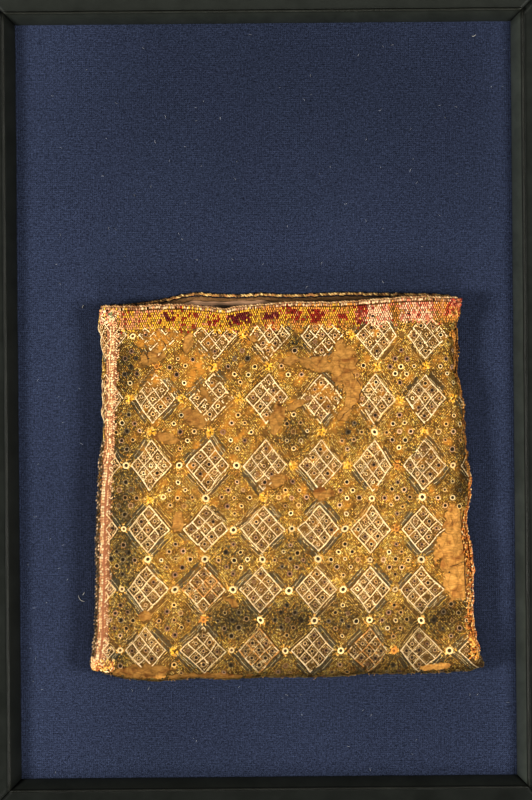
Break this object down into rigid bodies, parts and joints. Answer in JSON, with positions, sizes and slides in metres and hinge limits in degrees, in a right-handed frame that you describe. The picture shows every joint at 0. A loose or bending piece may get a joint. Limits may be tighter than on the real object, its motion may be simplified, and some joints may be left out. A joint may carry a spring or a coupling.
{
  "type": "framed reliquary burse",
  "caption": "Flat embroidered purse for relics, open at its mouth, on a blue cloth-covered board in a dark wood picture frame.",
  "frame": {"origin": "middle of the back of the frame, on the surface that it lies on", "axes": "+X to the right and +Y up the picture as it is looked at, +Z out of the picture's face"},
  "size_m": [0.2386, 0.342, 0.0278],
  "materials": {
    "black_wood": "satin",
    "board_wood": "matte",
    "blue_cloth": "matte",
    "gold_embroidery": "satin",
    "lining_silk": "satin",
    "border_silk": "satin",
    "cream_cord": "satin",
    "gold_cord": "satin",
    "seam_braid": "satin"
  },
  "bodies": {
    "root": {"frame_rail_top": "black_wood", "frame_rail_bottom": "black_wood", "frame_rail_left": "black_wood", "frame_rail_right": "black_wood", "mount_board": "board_wood", "mount_cloth": "blue_cloth", "burse_body": "gold_embroidery", "burse_lining": "lining_silk", "mouth_band": "border_silk", "rim_cord_front": "cream_cord", "rim_cord_back": "gold_cord", "seam_braid_left": "seam_braid", "seam_braid_right": "seam_braid"}
  },
  "joints": []
}
